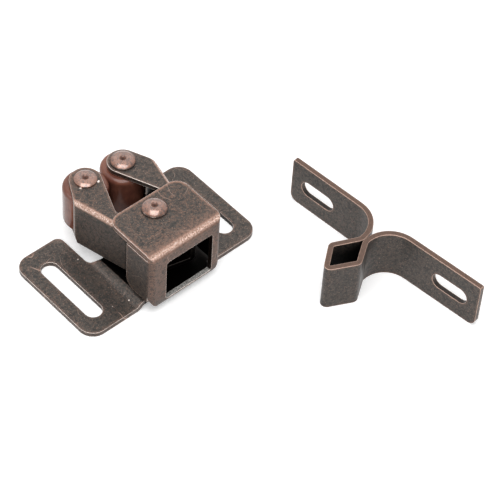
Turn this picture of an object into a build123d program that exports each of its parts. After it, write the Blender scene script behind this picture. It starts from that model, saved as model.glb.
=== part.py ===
from build123d import *
import os
from math import acos, cos, degrees, hypot, radians, sin

# Double roller catch for a cupboard door, with its spear strike. Millimetres, +Z up.
# The origin is on the pivot axis, level with the underside of the wings. The window of
# the case faces -Y, the rollers face +Y.

# Sheet metal and fits
sheet = 1.2  # thickness of every folded sheet
plate_gap = 0.1  # running gap between plates stacked on the pivot rivet
rivet_fit = 0.05  # hole over rivet, on the radius
turning_fit = 0.05  # turning hole over its rivet, on the radius

# Arms: two like channels, the left one turned over
arm_height = 13.8
arm_wall = 8.1  # pivot axis to the outer face of the wall
arm_front = 4.5  # pivot axis to the front edge
arm_wall_rear = 15.6  # pivot axis to the rear edge of the wall
far_fold_rear = 14.7  # the same at the far fold, where the wall's corner is rounded off
far_corner_height = 4.6
arm_fold = 1.5  # outer radius of its folds
arm_fold_inside = 0.3
eye_radius = 4.45  # plate round the pivot
eye_slant = 0.4  # how much further back the plate reaches at the wall than at the eye
eye_corner = 1.7
end_radius = 3.6  # plate round the roller rivet
inner_diagonal_wall = 2.5  # where the inner edge of the diagonal would meet the wall
rest_turn = 13.6  # each arm stands turned outward by this, degrees

# Rollers and their rivets
roller_radius = 5.2
roller_gap = 0.3  # between the two rollers at rest
roller_reach = 17.1  # pivot axis to the roller axes
roller_play = 0.2  # at each end of a roller
roller_rim = 1.1
roller_rivet_radius = 1.5
factory_head = (2.95, 1.1)  # radius and height
peened_tail = (2.6, 0.85)

# Pivot rivet
pivot_radius = 2.0
pivot_head = (2.95, 1.35)
pivot_tail = (2.7, 0.85)
head_edge = 0.35  # upright edge under a dome
dimple_radius = 0.8
dimple_depth = 0.3

# Case: one folded sheet
floor_rise = 1.1  # joggle of the floor above the wings
side_clearance = 0.8  # arm wall to the ears
front_clearance = 0.434  # swinging arm to the front wall
wall_foot_bend = 1.6  # outer radius, floor to front wall
wall_foot_inside = 0.4
top_fold = 1.8  # outer radius, front wall to top plate
top_fold_inside = 0.6
corner_bend = 1.3  # outer radius, front wall to ears
foot_corner = 4.6  # round lower corners of the front wall
top_rear = 3.9  # rear edge of the top plate
top_rear_corner = 3.0
ear_rear = -2.7
ear_corner = 2.6
ear_slit = 0.5  # between ear and top plate
window_left = -5.7
window_right = 7.5
window_below_top = 4.2
window_corner = 0.8

# Wings
base_half = 24.6
wing_front = -8.1
wing_rear = 19.2
wing_front_corner = 3.7
wing_rear_corner = 3.6
notch_half = 11.5
notch_rear_corner = 1.7
neck_rear = 7.3
notch_fillet = 2.8
joggle_inset = 0.5  # foot of the joggle, inward of the ears
joggle_run = 1.2
joggle_inside = 1.0  # inner bend radius
wing_slot_x = 19.1
wing_slot_y = 5.3
wing_slot_length = 19.2
slot_width = 4.2

# Torsion spring round the pivot rivet
wire_radius = 0.5
coil_clearance = 0.5  # coil to rivet
coil_turns = 7
coil_pitch_gap = 0.1
leg_angle = 22  # where each leg leaves the coil, behind the side of its arm, degrees
leg_gap = 0.1  # leg to the wall of its arm

# Strike: one bent strip, standing on its edge beside the catch
strike_height = 12.7
strike_x = 40.14
strike_y = -31.43
strike_turn = 5.465
strike_half = 27.1
strike_slot_x = 19.3
strike_slot_length = 9.6
strike_upper_corner = 0.5
strike_lower_corner = 2.0
strand_gap = 0.1  # between the strands at the neck
neck_offset = -0.1  # middle of the neck along the strip
wing_dip = 0.35  # how far each wing leans back from its end to its root
root_bend = 6.8
neck_start = -7.3
neck_bend = 1.6
spear_left = (-4.25, -13.3)
spear_right = (3.5, -12.9)
spear_tip = (-0.5, -19.3)
shoulder_bend = 1.0
tip_bend = 0.8

# Worked out from the sizes above
floor_top = floor_rise + sheet
right_arm_low = floor_top + plate_gap
left_arm_low = right_arm_low + sheet + plate_gap
top_under = left_arm_low + arm_height + plate_gap
case_top = top_under + sheet
case_half = arm_wall + side_clearance + sheet
case_front = -(hypot(arm_wall, arm_front) + front_clearance + sheet)
ear_low = right_arm_low + sheet + 2 * plate_gap
ear_top = top_under - ear_slit
roller_x = roller_radius + roller_gap / 2
turn_cos = cos(radians(rest_turn))
turn_sin = sin(radians(rest_turn))
seat = (
    turn_cos * roller_x - turn_sin * roller_reach,
    turn_sin * roller_x + turn_cos * roller_reach,
)


def rounded(corners):
    """A face inside straight edges; each corner is (x, y) or (x, y, radius)."""
    points = [corner[:2] for corner in corners]
    radii = [corner[2] if len(corner) == 3 else 0 for corner in corners]
    with BuildLine() as edge_loop:
        FilletPolyline(points, radius=radii, close=True)
    return make_face(edge_loop.edges())


def mirrored(corners):
    """Corners on the right, then their mirror images in the opposite order."""
    return corners + [(-corner[0], *corner[1:]) for corner in reversed(corners)]


def tangent_point(start, centre, radius, side):
    """Where a line from start touches a circle, on its left (1) or right (-1)."""
    back = Vector(*start) - Vector(*centre)
    turn = -side * degrees(acos(radius / back.length))
    return Vector(*centre) + back.normalized().rotate(Axis.Z, turn) * radius


def domed_head(face, head, up):
    """Half outline of a rivet head, from its middle to the edge that seats on face."""
    radius, height = head
    top = face + up * height
    shoulder = face + up * head_edge
    SagittaArc((0, top - up * dimple_depth), (dimple_radius, top), -up * dimple_depth / 3)
    SagittaArc((dimple_radius, top), (radius, shoulder), up * height / 6)
    Line((radius, shoulder), (radius, face))


def rivet_outline(low, high, radius, low_head, high_head):
    """Half section of a rivet whose heads seat on the faces low and high."""
    with BuildLine() as outline:
        domed_head(high, high_head, 1)
        Line((high_head[0], high), (radius, high))
        Line((radius, high), (radius, low))
        Line((radius, low), (low_head[0], low))
        domed_head(low, low_head, -1)
        Line((0, low - low_head[1] + dimple_depth), (0, high + high_head[1] - dimple_depth))
    return make_face(outline.edges())


def across(frame, place, height=0):
    """An upright plane at a place of a frame: x as the frame's x, y as the frame's z."""
    origin = frame.from_local_coords((place[0], place[1], height))
    return Plane(origin=origin, x_dir=frame.x_dir, z_dir=-frame.y_dir)


# Floor and wings: a joggled sheet, cut to its plan
joggle_x = case_half - joggle_inset
slope = hypot(joggle_run, floor_rise)
joggle_shift = sheet * (slope - joggle_run) / floor_rise
with BuildPart() as base_sheet:
    with BuildSketch(Plane.XZ.offset(-wing_rear)):
        underside = [
            (base_half, 0),
            (joggle_x + joggle_run, 0, joggle_inside + sheet),
            (joggle_x, floor_rise, joggle_inside),
        ]
        upper_side = [
            (joggle_x + joggle_shift, floor_top, joggle_inside + sheet),
            (joggle_x + joggle_run + joggle_shift, sheet, joggle_inside),
            (base_half, sheet),
        ]
        left_underside = [(-corner[0], *corner[1:]) for corner in reversed(underside)]
        left_upper_side = [(-corner[0], *corner[1:]) for corner in reversed(upper_side)]
        rounded(underside + left_underside + left_upper_side + upper_side)
    extrude(amount=wing_rear - wing_front)
    with BuildSketch():
        rounded(
            mirrored(
                [
                    (base_half, wing_front, wing_front_corner),
                    (base_half, wing_rear, wing_rear_corner),
                    (notch_half, wing_rear, notch_rear_corner),
                    (notch_half, neck_rear, notch_fillet),
                ]
            )
        )
    extrude(amount=floor_top, mode=Mode.INTERSECT)
    with BuildSketch():
        with Locations((-wing_slot_x, wing_slot_y), (wing_slot_x, wing_slot_y)):
            SlotOverall(wing_slot_length, slot_width, rotation=90)
    extrude(amount=sheet, mode=Mode.SUBTRACT)

# Case: front wall, top plate and ears, folded up from the floor
with BuildPart() as case:
    joint_y = case_front + wall_foot_bend + 2 * sheet
    with BuildSketch(Plane.YZ.offset(-case_half)):
        rounded(
            [
                (joint_y, floor_rise),
                (case_front, floor_rise, wall_foot_bend),
                (case_front, case_top, top_fold),
                (top_rear, case_top),
                (top_rear, top_under),
                (case_front + sheet, top_under, top_fold_inside),
                (case_front + sheet, floor_top, wall_foot_inside),
                (joint_y, floor_top),
            ]
        )
    extrude(amount=2 * case_half)
    with BuildSketch():
        rounded(
            mirrored(
                [
                    (case_half, case_front, corner_bend),
                    (case_half, top_rear, top_rear_corner),
                ]
            )
        )
    extrude(amount=case_top, mode=Mode.INTERSECT)
    with BuildSketch(Plane.XZ):
        rounded(
            mirrored([(case_half, floor_rise, foot_corner), (case_half, case_top)])
        )
    extrude(amount=-case_front + top_rear, both=True, mode=Mode.INTERSECT)
    with BuildSketch(Plane.YZ.offset(case_half - sheet)):
        rounded(
            [
                (case_front + sheet, ear_low),
                (ear_rear, ear_low, ear_corner),
                (ear_rear, ear_top),
                (case_front + sheet, ear_top),
            ]
        )
    ear = extrude(amount=sheet)
    mirror(ear, about=Plane.YZ)
    add(base_sheet.part)
    with BuildSketch(Plane.XZ.offset(-case_front - sheet)):
        rounded(
            [
                (window_left, floor_rise + wall_foot_bend, window_corner),
                (window_right, floor_rise + wall_foot_bend, window_corner),
                (window_right, case_top - window_below_top, window_corner),
                (window_left, case_top - window_below_top, window_corner),
            ]
        )
    extrude(amount=sheet, mode=Mode.SUBTRACT)
    with BuildSketch():
        Circle(pivot_radius + rivet_fit)
    extrude(amount=case_top, mode=Mode.SUBTRACT)
case.part.label = "case"

with BuildPart() as pivot_rivet:
    with BuildSketch(Plane.XZ):
        rivet_outline(floor_rise, case_top, pivot_radius, pivot_tail, pivot_head)
    revolve(axis=Axis.Z)
pivot_rivet.part.label = "pivot_rivet"

# Spring: a coil round the pivot rivet, each leg resting against one arm
coil_radius = pivot_radius + coil_clearance + wire_radius
coil_pitch = 2 * wire_radius + coil_pitch_gap
coil_height = (coil_turns + (180 - 2 * leg_angle) / 360) * coil_pitch
coil_low = (floor_top + top_under - coil_height) / 2
leg_start = coil_radius * cos(radians(leg_angle + rest_turn))
leg_length = (arm_wall - sheet - leg_gap - wire_radius - leg_start) / sin(
    radians(leg_angle + rest_turn)
)
coil = Helix(coil_pitch, coil_height, coil_radius, center=(0, 0, coil_low))
coil = coil.rotate(Axis.Z, leg_angle)
with BuildPart() as torsion_spring:
    with BuildSketch(Plane(origin=coil @ 0, z_dir=coil % 0)):
        Circle(wire_radius)
    sweep(path=coil, is_frenet=True)
    extrude(torsion_spring.faces().filter_by(GeomType.PLANE), amount=leg_length)
torsion_spring.part.label = "torsion_spring"

finished = [case, pivot_rivet, torsion_spring]

# Arms, rollers and roller rivets. Each side is built in its arm's own frame, x outward
# and y along the arm. The right frame stands on the lower plate; the left frame hangs
# from the upper one, so the same shapes come out turned over.
right_frame = Plane(
    origin=(0, 0, right_arm_low), x_dir=(turn_cos, -turn_sin, 0), z_dir=(0, 0, 1)
)
left_frame = Plane(
    origin=(0, 0, left_arm_low + arm_height), x_dir=(-turn_cos, -turn_sin, 0), z_dir=(0, 0, -1)
)
outer_touch = tangent_point((arm_wall, arm_wall_rear), seat, end_radius, -1)
inner_touch = tangent_point((arm_wall, inner_diagonal_wall), seat, end_radius, 1)
far_touch = tangent_point((arm_wall, far_fold_rear), seat, end_radius, -1)
far_diagonal = far_touch - Vector(arm_wall, far_fold_rear)
far_corner = ((arm_wall_rear, arm_height - far_corner_height), (far_fold_rear, arm_height))
arm_reach = seat[1] + end_radius
roller_length = arm_height - 2 * sheet - 2 * roller_play
for side, frame in (("right", right_frame), ("left", left_frame)):
    with BuildPart() as arm:
        with BuildSketch(across(frame, (0, arm_reach))):
            rounded(
                [
                    (-arm_wall, 0),
                    (arm_wall, 0, arm_fold),
                    (arm_wall, arm_height, arm_fold),
                    (-arm_wall, arm_height),
                    (-arm_wall, arm_height - sheet),
                    (arm_wall - sheet, arm_height - sheet, arm_fold_inside),
                    (arm_wall - sheet, sheet, arm_fold_inside),
                    (-arm_wall, sheet),
                ]
            )
        extrude(amount=arm_reach + arm_front)
        with BuildSketch(frame) as plan:
            Circle(eye_radius)
            rounded(
                [
                    (0, -arm_front),
                    (arm_wall, -arm_front),
                    (arm_wall, eye_radius + eye_slant),
                    (0, eye_radius),
                ]
            )
            rounded(
                [
                    (arm_wall, inner_diagonal_wall),
                    (arm_wall, arm_wall_rear),
                    tuple(outer_touch)[:2],
                    seat,
                    tuple(inner_touch)[:2],
                ]
            )
            with Locations(seat):
                Circle(end_radius)
            inner_corners = plan.vertices().filter_by_position(Axis.X, 1, arm_wall - 0.5)
            fillet(inner_corners.sort_by_distance((arm_wall, eye_radius + eye_slant))[0], eye_corner)
        extrude(amount=arm_height, mode=Mode.INTERSECT)
        wall_side = Plane(
            origin=frame.from_local_coords((arm_wall, 0, 0)), x_dir=frame.y_dir, z_dir=frame.x_dir
        )
        with BuildSketch(wall_side):
            with BuildLine():
                TangentArc(*far_corner, tangent=(0, 1))
                Polyline(far_corner[1], (arm_wall_rear, arm_height), far_corner[0])
            make_face()
        extrude(
            amount=far_diagonal.length,
            dir=frame.x_dir * far_diagonal.X + frame.y_dir * far_diagonal.Y,
            both=True,
            mode=Mode.SUBTRACT,
        )
        with BuildSketch(frame):
            Circle(pivot_radius + turning_fit)
            with Locations(seat):
                Circle(roller_rivet_radius + rivet_fit)
        extrude(amount=arm_height, mode=Mode.SUBTRACT)
    arm.part.label = f"{side}_arm"

    roller_end = frame.from_local_coords((*seat, sheet + roller_play))
    with BuildPart() as roller:
        with BuildSketch(Plane(origin=roller_end, x_dir=frame.x_dir, z_dir=frame.z_dir)):
            Circle(roller_radius)
            Circle(roller_rivet_radius + turning_fit, mode=Mode.SUBTRACT)
        extrude(amount=roller_length)
        rims = roller.edges().filter_by(GeomType.CIRCLE).sort_by(SortBy.RADIUS)[-2:]
        fillet(rims, roller_rim)
    roller.part.label = f"{side}_roller"

    with BuildPart() as roller_rivet:
        with BuildSketch(across(frame, seat)):
            rivet_outline(0, arm_height, roller_rivet_radius, peened_tail, factory_head)
        revolve(axis=Axis(roller_end, frame.z_dir))
    roller_rivet.part.label = f"{side}_roller_rivet"
    finished += [arm, roller, roller_rivet]

# Strike: wings, neck and spear are one strip, bent round upright lines
strike_frame = Plane(
    origin=(strike_x, strike_y, 0),
    x_dir=(sin(radians(strike_turn)), -cos(radians(strike_turn)), 0),
    z_dir=(0, 0, 1),
)
left_strand = neck_offset - (sheet + strand_gap) / 2
right_strand = neck_offset + (sheet + strand_gap) / 2
with BuildPart() as strike:
    with BuildSketch(strike_frame):
        with BuildLine():
            FilletPolyline(
                (-strike_half, sheet / 2),
                (left_strand, sheet / 2 - wing_dip),
                (left_strand, neck_start),
                spear_left,
                spear_tip,
                spear_right,
                (right_strand, neck_start),
                (right_strand, sheet / 2 - wing_dip),
                (strike_half, sheet / 2),
                radius=[
                    root_bend,
                    neck_bend,
                    shoulder_bend,
                    tip_bend,
                    shoulder_bend,
                    neck_bend,
                    root_bend,
                ],
            )
        trace(line_width=sheet)
    extrude(amount=strike_height)
    with BuildSketch(across(strike_frame, (0, 0), strike_height / 2)):
        with Locations((-strike_slot_x, 0), (strike_slot_x, 0)):
            SlotOverall(strike_slot_length, slot_width)
    extrude(amount=2 * sheet, both=True, mode=Mode.SUBTRACT)
    with BuildSketch(across(strike_frame, (0, 0))):
        rounded(
            mirrored(
                [
                    (strike_half, 0, strike_lower_corner),
                    (strike_half, strike_height, strike_upper_corner),
                ]
            )
        )
    extrude(amount=-2 * spear_tip[1], both=True, mode=Mode.INTERSECT)
strike.part.label = "strike"
finished.append(strike)

os.makedirs("parts", exist_ok=True)
for piece in finished:
    export_step(piece.part, f"parts/{piece.part.label}.step")
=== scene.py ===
from math import cos, pi, radians, sin

import bpy
from mathutils import Matrix, Vector


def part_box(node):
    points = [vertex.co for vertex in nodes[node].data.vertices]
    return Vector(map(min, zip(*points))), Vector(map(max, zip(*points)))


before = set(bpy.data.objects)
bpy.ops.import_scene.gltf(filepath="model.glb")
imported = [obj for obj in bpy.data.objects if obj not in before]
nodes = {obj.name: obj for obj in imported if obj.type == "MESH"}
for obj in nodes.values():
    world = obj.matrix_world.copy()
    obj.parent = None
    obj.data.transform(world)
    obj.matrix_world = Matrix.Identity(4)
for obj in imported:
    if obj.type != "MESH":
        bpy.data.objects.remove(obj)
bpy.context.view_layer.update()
MM = 0.001

# Camera, fitted to the photograph: its place in millimetres and its direction in degrees
PHOTO_WIDTH_PX = 500
FOCAL_PX = 2147.75
SENSOR_MM = 36.0
CAMERA_MM = (-206.04, -234.52, 364.41)
CAMERA_AZIMUTH = -45.211
CAMERA_ELEVATION = 48.889
CAMERA_ROLL = 4.223
CLIP_START = 0.01
CLIP_END = 20

# Light and floor, in metres. A lamp has a name, the azimuth and elevation that it shines from, in degrees, its
# distance, its width and height, and its radiance.
WORLD_LIGHT = 0.20
FLOOR_GLOW = 0.32
FLOOR_HALF_SIZE = 3.0
FLOOR_DROP = 0.02 * MM
LAMP_AIM = Vector((0.01, -0.01, 0.008))
LAMPS = (
    ("rear_box", 140, 55, 1.0, 1.2, 1.2, 0.5),
    ("top_box", -52, 76, 0.9, 0.75, 0.6, 4.0),
    ("front_box", -50, 42, 0.9, 0.5, 0.09, 9.0),
    ("right_box", 31, 27, 0.9, 0.35, 0.14, 4.2),
    ("left_box", -122, 27, 0.9, 0.35, 0.18, 4.2),
)

# Colours, as linear values
PATINA_DARK = (0.040, 0.037, 0.034, 1)
PATINA = (0.072, 0.065, 0.058, 1)
PATINA_BROWN = (0.150, 0.087, 0.063, 1)
COPPER = (0.330, 0.190, 0.140, 1)
DOME_COPPER = (0.290, 0.122, 0.072, 1)
DOME_BROWN = (0.090, 0.034, 0.020, 1)
COPPER_PINK = (0.520, 0.345, 0.275, 1)
COPPER_WORN = (0.780, 0.540, 0.430, 1)
COPPER_BRIGHT = (0.92, 0.80, 0.73, 1)
CUT_GREY = (0.78, 0.76, 0.72, 1)
PLASTIC = (0.235, 0.090, 0.057, 1)
PLASTIC_DEEP = (0.160, 0.057, 0.039, 1)
WIRE = (0.030, 0.028, 0.026, 1)
# Near black: painted shade in hollows, slots and inside the case, and also the dark of grime and of the wire's grain
PAINTED_SHADE_AND_GRIME = (0.004, 0.0036, 0.0034, 1)
FLOOR_WHITE = (0.93, 0.93, 0.93, 1)
WHITE = (1, 1, 1, 1)


def mm(*lengths):
    return tuple(length * MM for length in lengths)


def add_camera():
    azimuth, elevation = radians(CAMERA_AZIMUTH), radians(CAMERA_ELEVATION)
    forward = Vector((-sin(azimuth) * cos(elevation), cos(azimuth) * cos(elevation), -sin(elevation)))
    level_right = Vector((cos(azimuth), sin(azimuth), 0))
    level_up = level_right.cross(forward)
    roll = radians(CAMERA_ROLL)
    right = level_right * cos(roll) + level_up * sin(roll)
    up = level_up * cos(roll) - level_right * sin(roll)
    data = bpy.data.cameras.new("camera")
    data.sensor_width = SENSOR_MM
    data.lens = FOCAL_PX / PHOTO_WIDTH_PX * SENSOR_MM
    data.clip_start = CLIP_START
    data.clip_end = CLIP_END
    camera = bpy.data.objects.new("camera", data)
    turn = Matrix((right, up, -forward)).transposed().to_4x4()
    camera.matrix_world = Matrix.Translation(Vector(CAMERA_MM) * MM) @ turn
    bpy.context.scene.collection.objects.link(camera)
    bpy.context.scene.camera = camera


def add_softbox(name, azimuth, elevation, distance, width, height, radiance):
    a, e = radians(azimuth), radians(elevation)
    direction = Vector((sin(a) * cos(e), -cos(a) * cos(e), sin(e)))
    data = bpy.data.lights.new(name, "AREA")
    data.shape = "RECTANGLE"
    data.size = width
    data.size_y = height
    data.energy = radiance * pi * width * height
    lamp = bpy.data.objects.new(name, data)
    lamp.location = LAMP_AIM + direction * distance
    lamp.rotation_mode = "QUATERNION"
    lamp.rotation_quaternion = direction.to_track_quat("Z", "Y")
    bpy.context.scene.collection.objects.link(lamp)


class Shader:
    """A short way to add nodes to a material and to join them. Values may be sockets or numbers."""

    def __init__(self, name):
        self.material = bpy.data.materials.new(name)
        self.material.use_nodes = True
        self.tree = self.material.node_tree
        self.tree.nodes.clear()
        self.output = self.tree.nodes.new("ShaderNodeOutputMaterial")
        self.here = self.add("ShaderNodeTexCoord").outputs["Object"]
        self.facing = self.add("ShaderNodeNewGeometry").outputs["Normal"]

    def add(self, kind, inputs=None, **settings):
        node = self.tree.nodes.new(kind)
        for key, value in settings.items():
            setattr(node, key, value)
        for key, value in (inputs or {}).items():
            self.join(value, node.inputs[key])
        return node

    def join(self, value, socket):
        if isinstance(value, bpy.types.NodeSocket):
            self.tree.links.new(value, socket)
        else:
            socket.default_value = value

    def math(self, operation, first, second=0.0):
        return self.add("ShaderNodeMath", {0: first, 1: second}, operation=operation).outputs[0]

    def vector(self, operation, first, second=(0, 0, 0), output="Vector"):
        node = self.add("ShaderNodeVectorMath", {0: first, 1: second}, operation=operation)
        return node.outputs[output]

    def parts(self, vector):
        return self.add("ShaderNodeSeparateXYZ", {0: vector}).outputs

    def times(self, *factors):
        result = factors[0]
        for factor in factors[1:]:
            result = self.math("MULTIPLY", result, factor)
        return result

    def most(self, *values):
        result = values[0]
        for value in values[1:]:
            result = self.math("MAXIMUM", result, value)
        return result

    def blend(self, first, second, share):
        """The mean of two values, of which the first has this share."""
        return self.math("ADD", self.times(first, share), self.times(second, 1 - share))

    def smooth(self, value, low, high, to_low=0.0, to_high=1.0):
        """Maps low..high smoothly to to_low..to_high, and holds the ends."""
        node = self.add(
            "ShaderNodeMapRange",
            {"Value": value, "From Min": low, "From Max": high, "To Min": to_low, "To Max": to_high},
            interpolation_type="SMOOTHSTEP",
        )
        return node.outputs["Result"]

    def between(self, value, rise, fall):
        """1 between two bounds, with a smooth rise to it and fall from it."""
        return self.times(self.smooth(value, *rise), self.smooth(value, *fall))

    def mix(self, factor, first, second):
        node = self.add("ShaderNodeMix", data_type="RGBA")
        self.join(factor, node.inputs[0])
        self.join(first, node.inputs[6])
        self.join(second, node.inputs[7])
        return node.outputs[2]

    def cover(self, under, over, *shares):
        """The colour under, covered by the colour over as far as the product of the shares says."""
        return self.mix(self.times(*shares), under, over)

    def tone(self, colour, factor):
        """The colour made lighter or darker by a factor."""
        grey = self.add("ShaderNodeCombineXYZ", {0: factor, 1: factor, 2: factor}).outputs[0]
        return self.vector("MULTIPLY", colour, grey)

    def noise(self, scale, detail, roughness, shift=0.0):
        place = self.vector("ADD", self.here, (shift, shift, shift))
        inputs = {"Vector": place, "Scale": scale, "Detail": detail, "Roughness": roughness}
        return self.add("ShaderNodeTexNoise", inputs).outputs["Fac"]

    def hairlines(self, scale, width, shift):
        """Fine curved marks: where a slow noise crosses its middle."""
        offset = self.math("ABSOLUTE", self.math("SUBTRACT", self.noise(scale, 1.0, 0.4, shift), 0.5))
        return self.smooth(offset, 0.0, width, 1.0, 0.0)

    def spot(self, centre_mm, radius_mm):
        """1 near a centre and 0 away from it, with a soft rim about the radius."""
        away = self.vector("DISTANCE", self.here, Vector(centre_mm) * MM, "Value")
        return self.smooth(away, radius_mm * MM * 1.3, radius_mm * MM * 0.6)

    def rounding(self, radius):
        """The normal as it would be with edges rounded to this radius."""
        return self.add("ShaderNodeBevel", {"Radius": radius}, samples=8).outputs[0]

    def edge(self, rounding, open_cosine, edge_cosine):
        """0 on open surface and 1 on an edge, from how far the rounding turns the normal."""
        return self.smooth(self.vector("DOT_PRODUCT", rounding, self.facing, "Value"), open_cosine, edge_cosine)

    def openness(self, distance):
        """1 in the open and 0 deep in a hollow."""
        return self.add("ShaderNodeAmbientOcclusion", {"Distance": distance}, samples=12).outputs["AO"]

    def bump(self, height, depth, strength, **normal):
        inputs = {"Height": height, "Distance": depth, "Strength": strength}
        inputs.update(normal)
        return self.add("ShaderNodeBump", inputs).outputs[0]

    def finish(self, colour, roughness, metallic, normal, constants=None):
        inputs = {"Base Color": colour, "Roughness": roughness, "Metallic": metallic, "Normal": normal}
        inputs.update(constants or {})
        surface = self.add("ShaderNodeBsdfPrincipled", inputs)
        self.tree.links.new(surface.outputs[0], self.output.inputs["Surface"])
        return self.material


# Noises of the sheets: scale per metre, detail, roughness, and a shift that keeps one apart from the others
SPOTS = (2900, 2.0, 0.6)
GRIT = (4600, 1.0, 0.5, 0.3)
MOTTLE = (1400, 3.0, 0.6, 0.7)
CLOUD = (150, 3.0, 0.5, 1.1)
SCRATCH_GATE = (170, 2.0, 0.5, 5.1)
SCRATCHES = ((70, 0.0028, 2.3), (120, 0.0045, 3.9))  # scale, width and shift
MOTTLE_SHARE = 0.42  # of the texture, the rest of which is spots

# Levels of a noise where a layer begins and where it is complete, and for some the layer's share at both
PATINA_MOTTLE = (0.34, 0.60)
BROWN_TEXTURE = (0.45, 0.58)
BROWN_CLOUD = (0.34, 0.60, 0.6, 1.0)
COPPER_SPOTS = (0.60, 0.74)
PINK_GRIT = (0.65, 0.75)
DARK_GRIT = (0.40, 0.28)
SCRATCHED = (0.50, 0.60)
WORN_TEXTURE = (0.36, 0.58, 0.45, 1.0)
RUBBED_TEXTURE = (0.36, 0.56, 0.35, 1.0)
SPARKLE_SPOTS = (0.50, 0.66)
FOLD_PITS = (0.46, 0.36)
ARRIS_TEXTURE = (0.34, 0.52, 0.7, 1.0)
FRONT_TEXTURE = (0.40, 0.56, 0.1, 1.0)
LIP_SPOTS = (0.38, 0.56, 0.35, 1.0)
STRIKE_TEXTURE = (0.38, 0.60, 0.5, 0.95)

# How far layers cover what is under them
LEAST_COPPER_COVER = 0.2
COPPER_COVER_BY_BROWN = 0.4
PINK_COVER = 0.45
DARK_COVER = 0.7
WORN_COVER = 0.9
FOLD_COVER = 0.85
PIT_COVER = 0.45
# Shares of painted shade: on the slots' walls, the window's side, inside the case and on the arms within it
WING_SLOT_SHADE = 0.7
STRIKE_SLOT_SHADE = 0.75
WINDOW_SIDE_SHADE = 0.75
CASE_INSIDE_SHADE = 0.97
ARM_IN_CASE_SHADE = 0.95

# The case's own shares and tones
LEAST_BROWN = 0.35
LEAST_WEAR = 0.25
TOP_FRONT_WEAR = 0.42
FRONT_WALL_WEAR = 0.12
# Painted light on the flat by the ears' feet and painted shade on the slopes, evening out how the light falls on the
# rise
NEAR_EARS_PAINTED_LIGHT = 1.6
SLOPE_PAINTED_SHADE = 0.6
FRONT_WALL_TONE = 0.85

# Edges: how far a rounding turns the normal, as its cosine, on open surface and on the edge
ARRIS_TURN = (0.97, 0.84)
MARGIN_WIDTH = 1.1 * MM
MARGIN_TURN = (0.9995, 0.965)

# Tilt of a face, from 0 upright to 1 level: where something begins and where it is complete
BROWN_TILT = (0.2, 0.8, 0.6, 1.0)
FOLD_TILT = ((0.12, 0.50), (0.999, 0.90))
FOLD_MIDDLE_TILT = ((0.30, 0.55), (0.97, 0.80))
SLOPE_TILT = ((0.5, 0.8), (0.999, 0.97))
WINDOW_LIP_TILT = (0.5, 0.8)
WING_SLOT_TILT = (0.6, 0.3)
STRIKE_EDGE_TILT = (0.85, 0.97)
STRIKE_SLOT_TILT = (0.3, 0.7)
FACES_LEFT = (-0.4, -0.8)  # along X

# Places: where something begins and where it is complete
UPPER_FOLDS_Z = mm(11.5, 13.5)
CASE_BASE_Z = mm(3.0, 2.4)
CASE_UPRIGHT_Z = mm(2.4, 5.0)
CASE_TOP_Z = mm(16.0, 17.4)
CASE_CEILING_Z = mm(18.0, 17.6)
FRONT_WALL_Y = mm(-9.0, -10.6)
TOP_FRONT_Y = mm(-6.8, -9.8)
BEHIND_FRONT_Y = mm(-9.85, -9.7)
NEAR_EARS_X = mm(15.5, 11.0)
BETWEEN_EARS_X = mm(9.5, 9.1)
RIGHT_EAR_FOOT_X = (mm(8.0, 9.0), mm(10.15, 9.95))
RIGHT_EAR_FOOT_Z = mm(2.9, 2.7)
WINDOW_SIDE_X = mm(3, 5)
WINDOW_LIP_Y = mm(-9.6, -9.8)
WINDOW_LIP_Z = (mm(2.60, 2.67), mm(4.5, 4.0))
WING_SLOT_X = (mm(16.7, 16.9), mm(21.5, 21.3))
WING_SLOT_Y = (mm(-2.6, -2.4), mm(13.4, 13.2))
WING_SLOT_Z = mm(1.15, 1.05)
ARM_IN_CASE_X = mm(8.4, 8.1)
ARM_IN_CASE_Y = mm(1.6, 0.8)
STRIKE_EDGE_Z = mm(12.3, 12.6)
STRIKE_SLOT_Z = mm(12.3, 11.9)

# Small bright nicks: each one's centre and radius, in millimetres
WING_NICKS = (((-12.49, 11.19, 1.1), 0.20), ((-11.34, -5.13, 1.1), 0.22), ((-15.24, -4.17, 1.1), 0.14))
ARM_NICKS = (((-7.8, 15.77, 17.5), 0.26), ((-3.54, 14.81, 17.5), 0.26), ((-3.3, 14.95, 17.5), 0.18))
CORNER_NICKS = (((-9.5, -9.8, 18.1), 0.22), ((-9.1, -10.1, 18.1), 0.18), ((-8.5, -10.3, 18.0), 0.14))

# Painted shade in hollows, and surface of the sheets
HOLLOW_DISTANCE = 15 * MM
DEEPEST_OPENNESS = 0.06
SHEET_RELIEF = 0.02 * MM
RELIEF_STRENGTH = (0.5, 0.3)  # in the open and where it is rubbed
GRIT_IN_RELIEF = 0.5
SHEET_ROUGHNESS = (0.3, 0.7, 0.47, 0.39)
RUBBED_SMOOTHER = 0.13
SHEET_METALLIC = (0.6, 1.0)  # in the open and in the painted shade


class Sheet(Shader):
    """The shader of a folded sheet, with the noises and directions that its layers share."""

    def __init__(self, name):
        super().__init__(name)
        self.spots = self.noise(*SPOTS)
        self.grit = self.noise(*GRIT)
        self.mottle = self.noise(*MOTTLE)
        self.cloud = self.noise(*CLOUD)
        self.texture = self.blend(self.mottle, self.spots, MOTTLE_SHARE)
        self.x, self.y, self.z = self.parts(self.here)[0:3]
        self.from_middle = self.math("ABSOLUTE", self.x)
        self.tilt = self.math("ABSOLUTE", self.parts(self.facing)[2])

    def front_wall(self):
        """1 on the case's front wall."""
        return self.times(self.smooth(self.y, *FRONT_WALL_Y), self.smooth(self.z, *CASE_UPRIGHT_Z))

    def by_share(self, share, at_none, at_full):
        return self.smooth(share, 0.0, 1.0, at_none, at_full)


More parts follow.
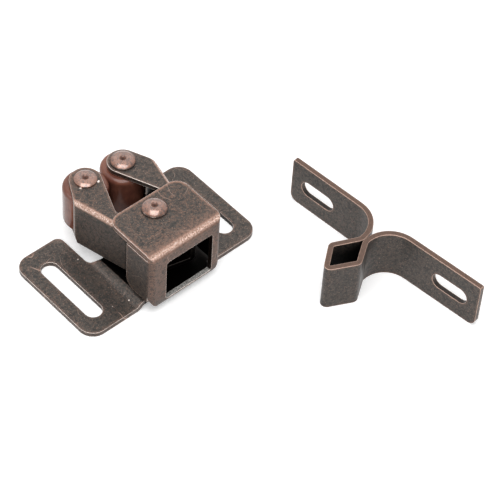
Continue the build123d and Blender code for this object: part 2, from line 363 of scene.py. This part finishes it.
def case_wear(s, brownness, worn):
    """The case's brown patina and wear: more on the top plate and the front wall than low down."""
    upright = s.smooth(s.z, *CASE_UPRIGHT_Z)
    on_top = s.smooth(s.z, *CASE_TOP_Z)
    brownness = s.times(brownness, s.math("ADD", LEAST_BROWN, s.times(upright, 1 - LEAST_BROWN)))
    brownness = s.most(brownness, s.times(s.front_wall(), s.smooth(s.texture, *FRONT_TEXTURE)))
    worn = s.times(worn, s.math("ADD", LEAST_WEAR, s.times(on_top, 1 - LEAST_WEAR)))
    top_front = s.times(s.smooth(s.y, *TOP_FRONT_Y), on_top, TOP_FRONT_WEAR)
    return brownness, s.most(worn, top_front, s.times(s.front_wall(), FRONT_WALL_WEAR))


def case_tones(s, colour):
    """Painted light by the feet of the ears and painted shade on the slopes, evening out how the light falls on the
    rise; darker on the front wall; and painted shade on the slots' walls.
    """
    low_down = s.smooth(s.z, *CASE_BASE_Z)
    near_ears = s.times(s.smooth(s.from_middle, *NEAR_EARS_X), low_down)
    slope = s.times(s.between(s.tilt, *SLOPE_TILT), low_down)
    # Painted light by the ears' feet, painted shade on the slopes, and the front wall darker
    for place, tone in ((near_ears, NEAR_EARS_PAINTED_LIGHT), (slope, SLOPE_PAINTED_SHADE), (s.front_wall(), FRONT_WALL_TONE)):
        colour = s.tone(colour, s.by_share(place, 1.0, tone))
    # Painted shade on the walls of the wings' slots
    slot_wall = s.times(s.smooth(s.tilt, *WING_SLOT_TILT), s.smooth(s.z, *WING_SLOT_Z),
                        s.between(s.from_middle, *WING_SLOT_X), s.between(s.y, *WING_SLOT_Y))
    return s.cover(colour, PAINTED_SHADE_AND_GRIME, slot_wall, WING_SLOT_SHADE)


def bare_lip(s, colour):
    """The grey cut face of the sheet below the case's window."""
    lip = s.times(s.smooth(s.tilt, *WINDOW_LIP_TILT), s.smooth(s.y, *WINDOW_LIP_Y), s.between(s.z, *WINDOW_LIP_Z))
    return s.cover(colour, CUT_GREY, lip, s.smooth(s.spots, *LIP_SPOTS))


def strike_cut_faces(s, colour):
    """Brown on the strike's upper edge, and painted shade on the lower walls of its slots."""
    upper_edge = s.times(s.smooth(s.tilt, *STRIKE_EDGE_TILT), s.smooth(s.z, *STRIKE_EDGE_Z))
    colour = s.cover(colour, PATINA_BROWN, upper_edge, s.smooth(s.texture, *STRIKE_TEXTURE))
    # Painted shade on the lower walls of the strike's slots
    slot_wall = s.times(s.smooth(s.tilt, *STRIKE_SLOT_TILT), s.smooth(s.z, *STRIKE_SLOT_Z))
    return s.cover(colour, PAINTED_SHADE_AND_GRIME, slot_wall, STRIKE_SLOT_SHADE)


def scratches(s, colour, strength):
    marks = s.most(*[s.hairlines(*kind) for kind in SCRATCHES])
    return s.cover(colour, COPPER_PINK, marks, s.smooth(s.noise(*SCRATCH_GATE), *SCRATCHED), strength)


def case_painted_shade(s, dark):
    """Adds painted shade inside the case, at the right ear's foot and on the window's right side, and keeps the front
    face clear of it.
    """
    behind_front = s.smooth(s.y, *BEHIND_FRONT_Y)
    ear_foot = s.times(s.between(s.x, *RIGHT_EAR_FOOT_X), s.smooth(s.z, *RIGHT_EAR_FOOT_Z))
    between_ears = s.most(s.smooth(s.from_middle, *BETWEEN_EARS_X), ear_foot)
    inside = s.times(between_ears, behind_front, s.smooth(s.z, *CASE_CEILING_Z), CASE_INSIDE_SHADE)
    faces_left = s.smooth(s.parts(s.facing)[0], *FACES_LEFT)
    window_side = s.times(faces_left, s.smooth(s.x, *WINDOW_SIDE_X), WINDOW_SIDE_SHADE)
    return s.most(s.times(s.most(dark, inside), behind_front), window_side)


def arm_painted_shade(s, dark):
    """Adds painted shade on the part of an arm that is inside the case."""
    in_case = s.times(s.smooth(s.from_middle, *ARM_IN_CASE_X), s.smooth(s.y, *ARM_IN_CASE_Y), ARM_IN_CASE_SHADE)
    return s.most(dark, in_case)


def antique_copper(name, brown, margin, lines=0.0, shade=0.34, sparkle=0.6, tone=1.0, arris_width=0.2,
                   arris_colour=COPPER_BRIGHT, nicks=(), is_case=False, is_strike=False):
    """Dark brown patina on plated steel, rubbed to copper on its edges and folds.

    Shares: brown for brown patina, margin for wear along edges, lines for scratches, sparkle for bright specks on
    folds, bare copper partly painted as glints. A hollow more closed than shade is painted dark as shade. The arris is
    the bright line on an edge, edge wear with a painted highlight, its width in millimetres.
    """
    s = Sheet(name)
    arris_rounding = s.rounding(arris_width * MM)
    arris = s.edge(arris_rounding, *ARRIS_TURN)
    near_edge = s.edge(s.rounding(MARGIN_WIDTH), *MARGIN_TURN)
    high = s.smooth(s.z, *UPPER_FOLDS_Z)
    fold = s.times(s.between(s.tilt, *FOLD_TILT), high)
    fold_middle = s.times(s.between(s.tilt, *FOLD_MIDDLE_TILT), high)

    brown_clouds = s.times(s.smooth(s.texture, *BROWN_TEXTURE), s.smooth(s.cloud, *BROWN_CLOUD))
    brownness = s.times(brown_clouds, brown, s.smooth(s.tilt, *BROWN_TILT))
    worn = s.times(near_edge, margin)
    if is_case:
        brownness, worn = case_wear(s, brownness, worn)
    worn = s.times(worn, s.smooth(s.texture, *WORN_TEXTURE))
    rubbed = s.times(fold_middle, s.smooth(s.texture, *RUBBED_TEXTURE))

    colour = s.mix(s.smooth(s.mottle, *PATINA_MOTTLE), PATINA_DARK, PATINA)
    colour = s.cover(colour, PATINA_BROWN, brownness)
    copper_cover = LEAST_COPPER_COVER + COPPER_COVER_BY_BROWN * brown
    colour = s.cover(colour, COPPER, s.smooth(s.spots, *COPPER_SPOTS), copper_cover)
    colour = s.cover(colour, COPPER_PINK, s.smooth(s.grit, *PINK_GRIT), PINK_COVER)
    colour = s.cover(colour, PATINA_DARK, s.smooth(s.grit, *DARK_GRIT), DARK_COVER)
    if is_case:
        colour = case_tones(s, colour)
    if lines:
        colour = scratches(s, colour, lines)
    colour = s.cover(colour, COPPER, worn, WORN_COVER)
    colour = s.cover(colour, COPPER, fold, FOLD_COVER)
    colour = s.cover(colour, COPPER_PINK, rubbed, FOLD_COVER)
    # Bright specks on the rubbed folds: bare copper, partly a painted glint
    colour = s.cover(colour, COPPER_BRIGHT, rubbed, s.smooth(s.spots, *SPARKLE_SPOTS), sparkle)
    colour = s.cover(colour, PATINA_BROWN, fold, s.smooth(s.spots, *FOLD_PITS), PIT_COVER)
    if is_strike:
        colour = strike_cut_faces(s, colour)
    if is_case:
        colour = bare_lip(s, colour)
    # The arris line: edge wear with a painted highlight
    colour = s.cover(colour, arris_colour, arris, s.smooth(s.texture, *ARRIS_TEXTURE))
    colour = s.tone(colour, tone)
    if nicks:
        colour = s.cover(colour, COPPER_BRIGHT, s.most(*[s.spot(*nick) for nick in nicks]))

    # Painted shade: hollows that ambient occlusion finds closed are painted near black, and so are the case's and arms'
    # insides
    dark = s.smooth(s.openness(HOLLOW_DISTANCE), DEEPEST_OPENNESS, shade, 1.0, 0.0)
    dark = case_painted_shade(s, dark) if is_case else arm_painted_shade(s, dark)
    colour = s.cover(colour, PAINTED_SHADE_AND_GRIME, dark)

    relief = s.math("ADD", s.times(s.grit, GRIT_IN_RELIEF), s.math("ADD", s.spots, s.mottle))
    normal = s.bump(relief, SHEET_RELIEF, s.by_share(rubbed, *RELIEF_STRENGTH), Normal=arris_rounding)
    roughness = s.math("SUBTRACT", s.smooth(s.mottle, *SHEET_ROUGHNESS), s.times(rubbed, RUBBED_SMOOTHER))
    return s.finish(colour, roughness, s.by_share(dark, *SHEET_METALLIC), normal)


# Rivets. Noises and levels are as for the sheets, and reach is a share of the dome's radius.
DOME_SPOTS = (2300, 2.0, 0.6)
DOME_GRIT = (4200, 1.0, 0.5, 0.4)
DOME_MOTTLE = (900, 3.0, 0.6, 0.9)
DOME_MOTTLE_SHARE = 0.5
DOME_TEXTURE = (0.38, 0.56)
DOME_PINK_GRIT = (0.60, 0.74)
DOME_PINK_COVER = 0.3
DOME_DARK_GRIT = (0.42, 0.30)
DOME_DARK_COVER = 0.6
DIMPLE_TEXTURE = (0.35, 0.55, 0.5, 1.0)
DIMPLE_REACH = (0.30, 0.18)
DIMPLE_BOTTOM_REACH = (0.13, 0.05, 0.0, 0.7)
RIM_SHADE_REACH = (0.88, 0.99, 0.0, 0.85)
POLISHED_REACH = ((0.12, 0.32), (0.98, 0.80))
RING_PACE = 34.0
RING_HEIGHT = 0.15
DOME_RELIEF = 0.02 * MM
DOME_RELIEF_STRENGTH = 0.4
DOME_ROUGHNESS = (0.3, 0.7, 0.27, 0.19)
DIMPLE_ROUGHER = 0.3
DOME_METALLIC = 0.45
DOME_COAT = {"Coat Roughness": 0.17, "Coat IOR": 1.8}


def rivet_copper(name, centre, radius):
    """A dome rubbed to copper, with fine rings round a dark dimple and painted shade at its rim."""
    s = Shader(name)
    offset = s.vector("MULTIPLY", s.vector("SUBTRACT", s.here, centre), (1, 1, 0))
    reach = s.math("DIVIDE", s.vector("LENGTH", offset, output="Value"), radius)
    spots = s.noise(*DOME_SPOTS)
    grit = s.noise(*DOME_GRIT)
    mottle = s.noise(*DOME_MOTTLE)
    texture = s.blend(mottle, spots, DOME_MOTTLE_SHARE)
    dimple = s.smooth(reach, *DIMPLE_REACH)
    colour = s.mix(s.smooth(texture, *DOME_TEXTURE), DOME_BROWN, DOME_COPPER)
    colour = s.cover(colour, COPPER_PINK, s.smooth(grit, *DOME_PINK_GRIT), DOME_PINK_COVER)
    colour = s.cover(colour, PATINA_DARK, s.smooth(grit, *DOME_DARK_GRIT), DOME_DARK_COVER)
    colour = s.cover(colour, DOME_BROWN, dimple, s.smooth(texture, *DIMPLE_TEXTURE))
    colour = s.cover(colour, PAINTED_SHADE_AND_GRIME, s.smooth(reach, *DIMPLE_BOTTOM_REACH))
    # Painted shade round the rim, where the dome meets the plate
    colour = s.cover(colour, PATINA_DARK, s.smooth(reach, *RIM_SHADE_REACH))
    rings = s.math("SINE", s.math("MULTIPLY", reach, RING_PACE))
    normal = s.bump(s.math("ADD", spots, s.times(rings, RING_HEIGHT)), DOME_RELIEF, DOME_RELIEF_STRENGTH)
    roughness = s.math("ADD", s.smooth(mottle, *DOME_ROUGHNESS), s.times(dimple, DIMPLE_ROUGHER))
    coat = {"Coat Weight": s.between(reach, *POLISHED_REACH), **DOME_COAT}
    return s.finish(colour, roughness, DOME_METALLIC, normal, coat)


# Rollers and spring, with noises and levels as above
PLASTIC_CLOUD = (240, 3.0, 0.5)
PLASTIC_GRAIN = (1500, 2.0, 0.6)
PLASTIC_CLOUDS = (0.35, 0.65)
PLASTIC_HOLLOW_DISTANCE = 10 * MM
PLASTIC_HOLLOW_SHADE = (0.0, 0.42, 0.85, 0.0)
CLOUD_IN_RELIEF = 3.0
PLASTIC_RELIEF = 0.03 * MM
PLASTIC_RELIEF_STRENGTH = 0.4
PLASTIC_ROUGHNESS = (0.3, 0.7, 0.12, 0.18)
PLASTIC_GLOSS = {"Specular IOR Level": 0.38}
WIRE_GRAIN = (1500, 3.0, 0.6)
WIRE_GRAINS = (0.4, 0.7)
WIRE_RELIEF = 0.01 * MM
WIRE_RELIEF_STRENGTH = 0.3
WIRE_ROUGHNESS = (0.3, 0.7, 0.45, 0.35)
WIRE_METALLIC = 0.9


def brown_plastic(name):
    s = Shader(name)
    cloud = s.noise(*PLASTIC_CLOUD)
    grain = s.noise(*PLASTIC_GRAIN)
    colour = s.mix(s.smooth(cloud, *PLASTIC_CLOUDS), PLASTIC_DEEP, PLASTIC)
    # Painted shade in the roller's hollows, found by ambient occlusion
    colour = s.cover(colour, PAINTED_SHADE_AND_GRIME, s.smooth(s.openness(PLASTIC_HOLLOW_DISTANCE), *PLASTIC_HOLLOW_SHADE))
    relief = s.math("ADD", grain, s.times(cloud, CLOUD_IN_RELIEF))
    normal = s.bump(relief, PLASTIC_RELIEF, PLASTIC_RELIEF_STRENGTH)
    return s.finish(colour, s.smooth(cloud, *PLASTIC_ROUGHNESS), 0.0, normal, PLASTIC_GLOSS)


def spring_wire(name):
    s = Shader(name)
    grain = s.noise(*WIRE_GRAIN)
    colour = s.mix(s.smooth(grain, *WIRE_GRAINS), PAINTED_SHADE_AND_GRIME, WIRE)
    normal = s.bump(grain, WIRE_RELIEF, WIRE_RELIEF_STRENGTH)
    return s.finish(colour, s.smooth(grain, *WIRE_ROUGHNESS), WIRE_METALLIC, normal)


def dress(node, material):
    mesh = nodes[node].data
    mesh.materials.clear()
    mesh.materials.append(material)


def white_to_eye_and_gloss(tree):
    """1 for rays from the camera, from gloss and through glass, and 0 for light's own rays."""
    path = tree.nodes.new("ShaderNodeLightPath")
    total = path.outputs["Is Camera Ray"]
    for ray in ("Is Glossy Ray", "Is Transmission Ray"):
        larger = tree.nodes.new("ShaderNodeMath")
        larger.operation = "MAXIMUM"
        tree.links.new(total, larger.inputs[0])
        tree.links.new(path.outputs[ray], larger.inputs[1])
        total = larger.outputs[0]
    return total


def add_floor():
    size = FLOOR_HALF_SIZE
    mesh = bpy.data.meshes.new("floor")
    corners = [(-size, -size, 0), (size, -size, 0), (size, size, 0), (-size, size, 0)]
    mesh.from_pydata(corners, [], [(0, 1, 2, 3)])
    floor = bpy.data.objects.new("floor", mesh)
    floor.location.z = -FLOOR_DROP
    bpy.context.scene.collection.objects.link(floor)
    s = Shader("floor_white")
    glow = s.times(white_to_eye_and_gloss(s.tree), FLOOR_GLOW)
    surface = s.add(
        "ShaderNodeBsdfPrincipled",
        {"Base Color": FLOOR_WHITE, "Roughness": 0.9, "Specular IOR Level": 0.0,
         "Emission Color": WHITE, "Emission Strength": glow},
    )
    s.tree.links.new(surface.outputs[0], s.output.inputs["Surface"])
    mesh.materials.append(s.material)


def add_world():
    """Dim light on the scene from all round, with pure white behind it."""
    world = bpy.data.worlds.new("studio")
    bpy.context.scene.world = world
    world.use_nodes = True
    tree = world.node_tree
    tree.nodes.clear()
    output = tree.nodes.new("ShaderNodeOutputWorld")
    choice = tree.nodes.new("ShaderNodeMixShader")
    tree.links.new(white_to_eye_and_gloss(tree), choice.inputs[0])
    for socket, strength in ((1, WORLD_LIGHT), (2, 1.0)):
        light = tree.nodes.new("ShaderNodeBackground")
        light.inputs["Color"].default_value = WHITE
        light.inputs["Strength"].default_value = strength
        tree.links.new(light.outputs[0], choice.inputs[socket])
    tree.links.new(choice.outputs[0], output.inputs["Surface"])


bpy.context.scene.view_settings.view_transform = "Standard"
add_camera()
add_world()
add_floor()
for lamp in LAMPS:
    add_softbox(*lamp)

dress("case", antique_copper("antique_copper_case", brown=0.75, margin=1.1, lines=0.65, sparkle=0.42,
                             nicks=WING_NICKS + CORNER_NICKS, is_case=True))
dress("left_arm", antique_copper("antique_copper_left_arm", brown=0.7, margin=0.5, shade=0.5, nicks=ARM_NICKS))
dress("right_arm", antique_copper("antique_copper_right_arm", brown=0.45, margin=0.35, shade=0.5, arris_width=0.34))
dress("strike", antique_copper("antique_copper_strike", brown=0.45, margin=0.25, lines=0.08, tone=0.9,
                               arris_width=0.28, arris_colour=COPPER_WORN, is_strike=True))
for name in ("pivot_rivet", "left_roller_rivet", "right_roller_rivet"):
    low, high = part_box(name)
    dress(name, rivet_copper("copper_" + name, (low + high) / 2, (high.x - low.x) / 2))
moulded = brown_plastic("brown_moulding")
dress("left_roller", moulded)
dress("right_roller", moulded)
dress("torsion_spring", spring_wire("drawn_wire"))
